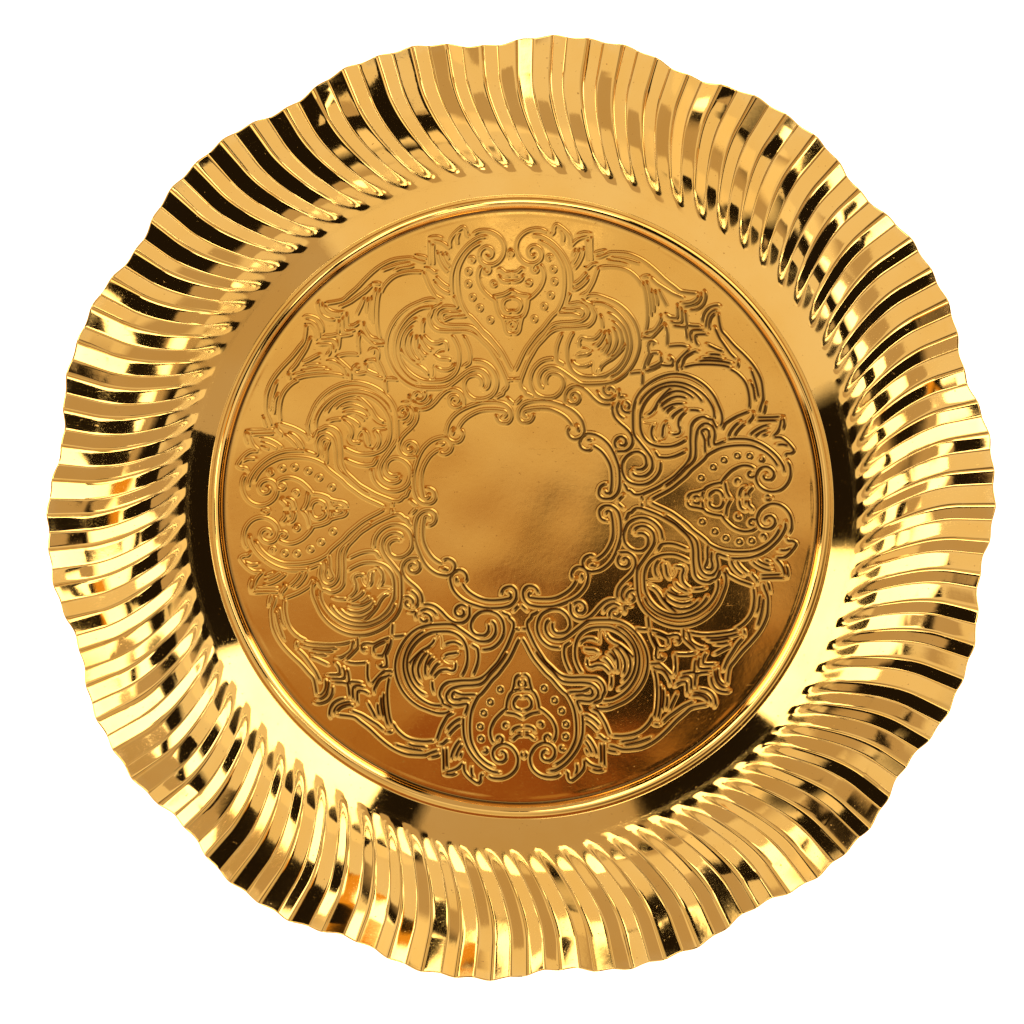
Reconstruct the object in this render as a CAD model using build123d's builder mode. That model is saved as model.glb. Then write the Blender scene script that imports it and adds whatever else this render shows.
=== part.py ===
"""Round brass tray with an embossed well and a fluted, gently scalloped rim.

The real tray is one pressed sheet. It is divided here along its own crease rings into four
zones that meet face to face: the flat well floor, the rounded step around it, the plain cove
and the fluted rim. +Z is up and the origin is the centre of the flat underside, so the tray
stands on the plane z = 0.
"""

import os
from math import cos, radians, sin, sqrt, tan

from build123d import *

# Sheet and plain wall, in millimetres and degrees. Radii are taken on the upper face.
SHEET = 0.8
FLOOR_SEAM_RADIUS = 96.0
FLOOR_RADIUS = 96.9
TOE_BEND = 0.8
STEP_ANGLE = 70.0
STEP_CURVE = 4.0
LEDGE_WIDTH = 0.6
CREASE_BEND = 0.6
COVE_FOOT_ANGLE = 44.0
COVE_CURVE = 46.0
FLANK_FOOT_ANGLE = 35.0
SEAM_MARGIN = 1.0
SECTION_REACH = 30.0

# Fluted rim. Lobes are the wide scallops of the outline, flutes are the fine pleats.
RIM_SEAM_RADIUS = 108.5
EDGE_RADIUS = 152.5
EDGE_SLOPE_ANGLE = 5.0
FLANK_START_RADIUS = 111.0
FLANK_POWER = 6
LOBES = 14
FLUTES_PER_LOBE = 6
LOBE_PHASE = 4.36
LOBE_DEPTH = 1.62
LOBE_SQUARENESS = 0.5
LOBE_LIFT = 0.12
RIDGE_PHASE = 0.55
RIDGE_SHARE = 0.56
PLEAT_STEP = 0.28
PLEAT_STEP_PHASE = 0.25
FLUTE_START_RADIUS = 109.5
FLUTE_FULL_RADIUS = 118.0
FLUTE_HEIGHT = 1.0
SWEEP_START_RADIUS = 142.0
SWEEP_SPAN = 30.2
SWEEP_ANGLE = 5.0
SWEEP_POWER = 1.9
CREASE_STATIONS = 10
STATION_POWER = 1.7

flutes = LOBES * FLUTES_PER_LOBE
flute_pitch = 360 / flutes
creases = 2 * flutes


def sketch_plain_wall():
    """The wall's half section, from the floor's edge to just past the rim's seam."""
    with BuildSketch() as section:
        with BuildLine():
            floor_line = Line((FLOOR_SEAM_RADIUS - SEAM_MARGIN, SHEET), (FLOOR_RADIUS, SHEET))
            toe = JernArc(floor_line @ 1, floor_line % 1, TOE_BEND, STEP_ANGLE)
            step = JernArc(toe @ 1, toe % 1, STEP_CURVE, -STEP_ANGLE)
            ledge = Line(step @ 1, step @ 1 + Vector(LEDGE_WIDTH, 0))
            foot = JernArc(ledge @ 1, ledge % 1, CREASE_BEND, COVE_FOOT_ANGLE)
            cove_turn = FLANK_FOOT_ANGLE - COVE_FOOT_ANGLE
            shoulder = JernArc(foot @ 1, foot % 1, COVE_CURVE, cove_turn)
            PolarLine(shoulder @ 1, 2 * SEAM_MARGIN, direction=shoulder % 1)
            offset(amount=SHEET, side=Side.RIGHT)
        make_face()
    return section.sketch, (step @ 1).X + LEDGE_WIDTH / 2, shoulder @ 1


plain_wall, ledge_radius, shoulder_end = sketch_plain_wall()
flank_slope = tan(radians(FLANK_FOOT_ANGLE))
edge_slope = tan(radians(EDGE_SLOPE_ANGLE))
flat_width = EDGE_RADIUS - FLANK_START_RADIUS
rim_seam_height = shoulder_end.Y + flank_slope * (RIM_SEAM_RADIUS - shoulder_end.X)


def flank(radius):
    """Height and slope of the rim's upper face, without flutes, at a radius."""
    left = min(max(EDGE_RADIUS - radius, 0) / flat_width, 1)
    steep = flank_slope - edge_slope
    straight = steep * (min(radius, FLANK_START_RADIUS) - RIM_SEAM_RADIUS)
    rise = steep * flat_width / (FLANK_POWER + 1) * (1 - left ** (FLANK_POWER + 1))
    height = rim_seam_height + edge_slope * (radius - RIM_SEAM_RADIUS) + straight + rise
    return height, edge_slope + steep * left**FLANK_POWER


def flute_height(radius):
    """How far a crease stands from the flank: nothing at the foot, soon full."""
    share = (radius - FLUTE_START_RADIUS) / (FLUTE_FULL_RADIUS - FLUTE_START_RADIUS)
    share = min(max(share, 0), 1)
    return FLUTE_HEIGHT * share**2 * (3 - 2 * share)


def sweep_angle(radius):
    """Turn of a crease towards the foot of the flank, where the flutes lean clockwise."""
    return -SWEEP_ANGLE * (max(SWEEP_START_RADIUS - radius, 0) / SWEEP_SPAN) ** SWEEP_POWER


def lobe_wave(angle):
    """Scallops of the outline: flat-topped lobes with narrow notches between."""
    turn = radians(LOBES * (angle - LOBE_PHASE))
    return LOBE_DEPTH * cos(turn) - LOBE_SQUARENESS * cos(2 * turn)


def crease_angle(number):
    """Bearing of a crease at the edge: ridges are even, valleys are odd."""
    return RIDGE_PHASE + flute_pitch * (number // 2 + RIDGE_SHARE * (number % 2))


def crease_line(number, drop):
    """Curve along one crease, on the upper face (drop 0) or the lower face (drop 1)."""
    angle = crease_angle(number)
    side = 1 if number % 2 == 0 else -1
    pleat_step = PLEAT_STEP * cos(radians(flutes * (angle - PLEAT_STEP_PHASE)))
    seam = RIM_SEAM_RADIUS / cos(radians(flute_pitch * RIDGE_SHARE / 2))
    reach = EDGE_RADIUS + lobe_wave(angle) + pleat_step - seam
    points = []
    for station in range(CREASE_STATIONS):
        share = (station / (CREASE_STATIONS - 1)) ** STATION_POWER
        radius = seam + reach * share
        height, slope = flank(radius)
        height += side * flute_height(radius) + LOBE_LIFT * lobe_wave(angle) * share**2
        height -= drop * SHEET * sqrt(1 + slope**2)
        turn = radians(angle + sweep_angle(radius))
        points.append((radius * cos(turn), radius * sin(turn), height))
    with BuildLine() as crease:
        Spline(*points)
    return crease.line.edge()


def rim_faces():
    """All faces of the fluted rim: two per facet of the sheet, and its two edges."""
    upper = [crease_line(number, 0) for number in range(creases)]
    lower = [crease_line(number, 1) for number in range(creases)]
    faces = []
    for number in range(creases):
        following = (number + 1) % creases
        faces.append(Face.make_surface_from_curves(upper[number], upper[following]))
        faces.append(Face.make_surface_from_curves(lower[number], lower[following]))
        for end in (0, 1):
            top = Edge.make_line(upper[number] @ end, upper[following] @ end)
            bottom = Edge.make_line(lower[number] @ end, lower[following] @ end)
            faces.append(Face.make_surface_from_curves(top, bottom))
    return faces


os.makedirs("parts", exist_ok=True)

# Flat floor of the well. Its underside is what the tray rests on.
with BuildPart() as well_floor:
    with BuildSketch():
        Circle(FLOOR_SEAM_RADIUS)
    extrude(amount=SHEET)
well_floor.part.label = "well_floor"
export_step(well_floor.part, "parts/well_floor.step")

# Rounded step that frames the well, out to the middle of the narrow ledge.
with BuildPart() as step_ring:
    with BuildSketch(Plane.XZ):
        add(plain_wall)
        with Locations(((FLOOR_SEAM_RADIUS + ledge_radius) / 2, 0)):
            Rectangle(ledge_radius - FLOOR_SEAM_RADIUS, 2 * SECTION_REACH, mode=Mode.INTERSECT)
    revolve(axis=Axis.Z)
step_ring.part.label = "step_ring"
export_step(step_ring.part, "parts/step_ring.step")

# Plain cove that rises from the ledge to the foot of the flutes.
with BuildPart() as cove:
    with BuildSketch(Plane.XZ):
        add(plain_wall)
        with Locations(((ledge_radius + RIM_SEAM_RADIUS) / 2, 0)):
            Rectangle(RIM_SEAM_RADIUS - ledge_radius, 2 * SECTION_REACH, mode=Mode.INTERSECT)
    revolve(axis=Axis.Z)
cove.part.label = "cove"
export_step(cove.part, "parts/cove.step")

# Fluted rim: a closed skin of ruled facets, turned into a solid.
rim_solid = Solid(Shell(rim_faces()))
with BuildPart() as fluted_rim:
    add(rim_solid)
fluted_rim.part.label = "fluted_rim"
export_step(fluted_rim.part, "parts/fluted_rim.step")
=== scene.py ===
"""Round brass tray: one pressed sheet with an embossed well and a fluted, scalloped rim.

The CAD model holds four plain zones of the sheet. Here each zone is replaced by a finely
shaped mesh of the same size: the well with its ornament, the step, the cove and the pleats.
"""

import math

import bpy
import numpy as np
from mathutils import Matrix, Vector


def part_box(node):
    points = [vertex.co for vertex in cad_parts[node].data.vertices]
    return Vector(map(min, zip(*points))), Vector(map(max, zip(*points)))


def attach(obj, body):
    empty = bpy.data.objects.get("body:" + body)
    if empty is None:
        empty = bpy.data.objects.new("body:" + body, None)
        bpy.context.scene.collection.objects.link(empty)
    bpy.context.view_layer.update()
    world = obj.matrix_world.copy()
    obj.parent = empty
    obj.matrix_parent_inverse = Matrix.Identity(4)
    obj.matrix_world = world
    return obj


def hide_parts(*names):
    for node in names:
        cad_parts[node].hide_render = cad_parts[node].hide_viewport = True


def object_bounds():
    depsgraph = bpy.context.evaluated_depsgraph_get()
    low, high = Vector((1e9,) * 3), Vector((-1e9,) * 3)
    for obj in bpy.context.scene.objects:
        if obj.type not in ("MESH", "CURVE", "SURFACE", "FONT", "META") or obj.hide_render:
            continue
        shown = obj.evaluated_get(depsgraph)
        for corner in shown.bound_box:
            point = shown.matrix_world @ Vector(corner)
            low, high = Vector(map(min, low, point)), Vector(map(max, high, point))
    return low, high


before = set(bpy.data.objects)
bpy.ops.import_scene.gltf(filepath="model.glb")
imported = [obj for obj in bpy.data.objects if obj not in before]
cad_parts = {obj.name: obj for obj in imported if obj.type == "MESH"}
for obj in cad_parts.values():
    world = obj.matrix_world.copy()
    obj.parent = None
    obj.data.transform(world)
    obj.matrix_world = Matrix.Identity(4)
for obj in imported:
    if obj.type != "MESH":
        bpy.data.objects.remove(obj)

cad_low, cad_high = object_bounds()

MM = 0.001
rng = np.random.default_rng(12)

# ------------------------------------------------------------------------------------------
# Sizes, in millimetres and degrees. The seams between the zones are read from the CAD boxes.
# ------------------------------------------------------------------------------------------
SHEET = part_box("well_floor")[1].z / MM
FLOOR_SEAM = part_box("well_floor")[1].x / MM
RIM_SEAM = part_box("cove")[1].x / MM

# Plain wall: toe bend, rounded step, ledge, crease and cove.
FLOOR_RADIUS = 96.9
TOE_BEND = 0.8
STEP_ANGLE = 70.0
STEP_CURVE = 4.0
LEDGE_WIDTH = 0.6
CREASE_BEND = 0.6
COVE_FOOT_ANGLE = 44.0
COVE_CURVE = 46.0
BEND_SPACING = 2.0

# Fluted rim: it goes on steeply from the cove, then soon flattens out to the edge.
FLANK_FOOT_ANGLE = 35.0
FLANK_START = 111.0
FLANK_POWER = 6
EDGE_RADIUS = 152.5
EDGE_SLOPE_ANGLE = 5.0

# Wide lobes in the outline and a small step at every pleat.
LOBES = 14
LOBE_PHASE = 4.36
LOBE_DEPTH = 1.62
LOBE_SQUARENESS = 0.5
LOBE_LIFT = 0.12
SERRATION = 0.28
SERRATION_PHASE = 0.25

# Pleats: straight facets between ridges and valleys, leaning clockwise near their foot.
FLUTES = 84
RIDGE_PHASE = 0.55
RIDGE_SHARE = 0.56
FLUTE_START = 109.5
FLUTE_FULL = 118.0
FLUTE_HEIGHT = 1.0
CREASE_SHARP = 120.0
RIDGE_ROUND = 0.14
VALLEY_ROUND = 0.06
FOOT_ROUND = 0.44
SPACING_SPREAD = 0.02
HEIGHT_SPREAD = 0.07
HEIGHT_DRIFT = (0.02, 0.06, 0.08, 0.10, 0.18)
HEIGHT_LIMITS = (0.8, 1.2)
SWEEP_START = 142.0
SWEEP_SPAN = 30.2
SWEEP_ANGLE = 5.0
SWEEP_POWER = 1.9
RIM_ROWS = 110
EDGE_ROUND = 0.15
SHARP_ANGLE = 50.0
COLUMN_STOPS = (0.0, 0.04, 0.09, 0.16, 0.26, 0.4, 0.6, 0.76, 0.86, 0.93, 0.97)

# Well: the ornament was pressed a little off centre and a little turned.
WELL_CELLS = 760
UNDERSIDE_CELLS = WELL_CELLS // 2
SEAM_FADE = 1.0
ORNAMENT_SHIFT = (-1.2, 0.9)
ORNAMENT_TURN = 1.5
ORNAMENT_SCALE = 0.985
ORNAMENT_REACH = 97.0
RASTER_CELL = 0.1
GROOVE_DEPTH = 0.125
GROOVE_WIDTH = 0.62
RIDGE_HEIGHT = 0.07
RIDGE_WIDTH = 0.45
PEARL_WIDTH = 0.42
PEARL_RADIUS = 0.85
STROKE_TAPER = 1.2
STROKE_REACH = 1.4
STROKE_SPACING = 0.12
TAPERED_SHARE = 0.25
CURL_POINTS = 60
CURL_EYE_SHARE = 0.25
PEARL_POINTS = 40
REVERSE_BLUR = 5
UNDERSIDE_LIFT = 0.12
UNDERSIDE_SHARE = 0.7
TINY = 1e-12

# Strokes of these motifs are drawn with less depth.
FAINT = 0.55
FAINT_MOTIFS = ("leaf_rings_faint",)

# The pressing is lighter towards one side of the well, and the shade painted into its grooves is
# fainter there.
LIGHT_SIDE = -70.0
HEAVY_SIDE = 10.0
LIGHT_PRESSING = 0.7
LIGHT_SIDE_SHADE = 0.35
SHADE_SHARPNESS = 3

# The flat sheet is a little wavy: number of waves, their shortest and longest length and
# the steepest slope of one wave.
WAVES = 14
WAVE_LENGTHS = (16, 45)
WARP_SLOPE = 0.0009

# Wear, haze and painted shade: where the ridges, the edge and the feet of the pleats show use, and
# where shade is painted in the corner at the toe.
RIDGE_WEAR_WIDTH = 0.12
EDGE_WEAR_WIDTH = 3.0
TOE_MIDDLE = 97.3
TOE_SHADE_WIDTH = 0.45
HAZE_START = 110.8
HAZE_FULL = 112.6
HAZE_FADE = 115.5
HAZE_END = 120.0


def smooth(low, high, value):
    """A smooth step: 0 at low, 1 at high."""
    share = np.clip((value - low) / (high - low), 0.0, 1.0)
    return share * share * (3.0 - 2.0 * share)


# ------------------------------------------------------------------------------------------
# Plain wall section
# ------------------------------------------------------------------------------------------
class SheetPath:
    """A pen that draws the upper face's section as (radius, height, slope angle) rows."""

    def __init__(self, radius, height):
        self.radius = radius
        self.height = height
        self.angle = 0.0
        self.rows = [(radius, height, 0.0)]

    def straight(self, run, count):
        """Go on by a horizontal run at the present angle."""
        rise = run * math.tan(math.radians(self.angle))
        for _ in range(count):
            self.radius += run / count
            self.height += rise / count
            self.rows.append((self.radius, self.height, self.angle))

    def bend(self, curve, turn):
        """Turn up (positive) or down (negative) on an arc."""
        side = math.copysign(curve, turn)
        count = max(6, round(abs(turn) / BEND_SPACING))
        for _ in range(count):
            before = math.radians(self.angle)
            self.angle += turn / count
            after = math.radians(self.angle)
            self.radius += side * (math.sin(after) - math.sin(before))
            self.height += side * (math.cos(before) - math.cos(after))
            self.rows.append((self.radius, self.height, self.angle))


path = SheetPath(FLOOR_SEAM, SHEET)
path.straight(FLOOR_RADIUS - FLOOR_SEAM, 2)
path.bend(TOE_BEND, STEP_ANGLE)
path.bend(STEP_CURVE, -STEP_ANGLE)
path.straight(LEDGE_WIDTH / 2, 1)
ledge_row = len(path.rows) - 1
path.straight(LEDGE_WIDTH / 2, 1)
path.bend(CREASE_BEND, COVE_FOOT_ANGLE)
path.bend(COVE_CURVE, FLANK_FOOT_ANGLE - COVE_FOOT_ANGLE)
path.straight(RIM_SEAM - path.radius, 2)
section = np.array(path.rows)

seam_height = path.height
flat_width = EDGE_RADIUS - FLANK_START
foot_slope = math.tan(math.radians(FLANK_FOOT_ANGLE))
edge_slope = math.tan(math.radians(EDGE_SLOPE_ANGLE))


def rim_slope(radius):
    """Mean slope of the rim: as steep as the cove at its foot, nearly level at the edge."""
    left = np.clip((EDGE_RADIUS - radius) / flat_width, 0, 1)
    return edge_slope + (foot_slope - edge_slope) * left**FLANK_POWER


def rim_height(radius):
    """Mean height of the rim's upper face: the sum of its slope from the seam outwards."""
    left = np.clip((EDGE_RADIUS - radius) / flat_width, 0, 1)
    steep = (foot_slope - edge_slope) * flat_width / (FLANK_POWER + 1)
    flank = steep * (1 - left ** (FLANK_POWER + 1))
    straight = (foot_slope - edge_slope) * (np.minimum(radius, FLANK_START) - RIM_SEAM)
    return seam_height + edge_slope * (radius - RIM_SEAM) + straight + flank


# ------------------------------------------------------------------------------------------
# Columns round the tray. Every crease is a column, so the pleats stay sharp.
# ------------------------------------------------------------------------------------------
flute_pitch = 360.0 / FLUTES
ridge_angles = RIDGE_PHASE + flute_pitch * np.arange(FLUTES)
valley_angles = ridge_angles + RIDGE_SHARE * flute_pitch
crease_angles = np.stack([ridge_angles, valley_angles], -1).ravel()
crease_count = len(crease_angles)
crease_angles += rng.normal(0.0, SPACING_SPREAD * flute_pitch, crease_count)
crease_sides = np.tile([1.0, -1.0], FLUTES)
facet_widths = np.diff(np.append(crease_angles, crease_angles[0] + 360.0))
stops = np.array(COLUMN_STOPS)
column_angles = (crease_angles[:, None] + facet_widths[:, None] * stops).ravel()
column_stop = np.tile(stops, crease_count)
column_is_ridge = np.repeat(crease_sides > 0, len(stops))


def crease_share(stop, round_here, round_next):
    """From 0 at one crease to 1 at the next: straight, with each crease rounded a little."""
    full = 1.0 / (1.0 - (round_here + round_next) / 2)
    start = full * stop**2 / (2 * round_here)
    middle = full * (stop - round_here / 2)
    end = 1.0 - full * (1.0 - stop) ** 2 / (2 * round_next)
    return np.where(stop < round_here, start, np.where(stop > 1 - round_next, end, middle))


def outline_wave(angle):
    """Scallops of the outline: flat-topped lobes with narrow notches between."""
    turn = np.radians(LOBES * (angle - LOBE_PHASE))
    return LOBE_DEPTH * np.cos(turn) - LOBE_SQUARENESS * np.cos(2 * turn)


def pleat_step(angle):
    """A small step of the outline at every pleat."""
    return SERRATION * np.cos(np.radians(FLUTES * (angle - SERRATION_PHASE)))


def sweep_angle(radius):
    """Turn of a crease towards the foot of the rim, where the pleats lean clockwise."""
    return -SWEEP_ANGLE * (np.clip(SWEEP_START - radius, 0, None) / SWEEP_SPAN) ** SWEEP_POWER


def crease_gains(rows):
    """Uneven pressing: each crease's height factor, drifting along its length."""
    places = np.linspace(0, 1, len(HEIGHT_DRIFT))
    drift = rng.normal(0.0, 1.0, (len(HEIGHT_DRIFT), crease_count))
    drift *= np.array(HEIGHT_DRIFT)[:, None]
    fixed = rng.normal(0.0, HEIGHT_SPREAD, crease_count)
    drifting = [np.interp(rows[:, 0], places, column) for column in drift.T]
    return crease_sides * np.clip(1.0 + fixed + np.array(drifting).T, *HEIGHT_LIMITS)


def build_upper_face():
    """Grid of rows from the well's seam out to the cut edge, columns round the tray."""
    seam_angles = np.radians(column_angles + sweep_angle(RIM_SEAM))
    ones = np.ones_like(seam_angles)
    wall = np.stack(
        [
            section[:, :1] * np.cos(seam_angles),
            section[:, :1] * np.sin(seam_angles),
            section[:, 1:2] * ones,
        ],
        -1,
    )
    rows = np.linspace(0.0, 1.0, RIM_ROWS)[1:, None]
    reach = EDGE_RADIUS - EDGE_ROUND + outline_wave(column_angles) + pleat_step(column_angles)
    radius = RIM_SEAM + (reach - RIM_SEAM) * rows
    angle = np.radians(column_angles + sweep_angle(radius))
    depth = FLUTE_HEIGHT * smooth(FLUTE_START, FLUTE_FULL, radius)
    soft = FOOT_ROUND * (1 - smooth(FLUTE_START, CREASE_SHARP, radius))
    ridge_round = RIDGE_ROUND + soft
    valley_round = VALLEY_ROUND + soft
    round_here = np.where(column_is_ridge, ridge_round, valley_round)
    round_next = np.where(column_is_ridge, valley_round, ridge_round)
    along = crease_share(column_stop, round_here, round_next)
    gains = crease_gains(rows)
    here = np.repeat(gains, len(stops), axis=1)
    after = np.repeat(np.roll(gains, -1, axis=1), len(stops), axis=1)
    side = here * (1 - along) + after * along
    height = rim_height(radius) + side * depth + LOBE_LIFT * outline_wave(column_angles) * rows**2
    rim = np.stack([radius * np.cos(angle), radius * np.sin(angle), height], -1)
    edge = rim[-1:].copy()
    edge[..., :2] *= 1 + EDGE_ROUND / radius[-1:, :, None]
    edge[..., 2] -= EDGE_ROUND
    return np.concatenate([wall, rim, edge])


def build_lower_face(upper, wall_rows):
    """The same grid one sheet thickness below, square to the mean slope."""
    lower = upper.copy()
    slant = np.radians(section[:, 2])
    inward = SHEET * np.sin(slant)
    down = SHEET * np.cos(slant)
    inward[-1] = 0.0
    down[-1] = SHEET / math.cos(slant[-1])
    wall_plan = upper[:wall_rows, :, :2]
    radial = wall_plan / np.linalg.norm(wall_plan, axis=-1, keepdims=True)
    lower[:wall_rows, :, :2] += inward[:, None, None] * radial
    lower[:wall_rows, :, 2] -= down[:, None]
    radius = np.linalg.norm(upper[wall_rows:, :, :2], axis=-1)
    lower[wall_rows:, :, 2] -= SHEET * np.sqrt(1 + rim_slope(radius) ** 2)
    lower[-1, :, 2] += 2 * EDGE_ROUND
    return lower


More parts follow.
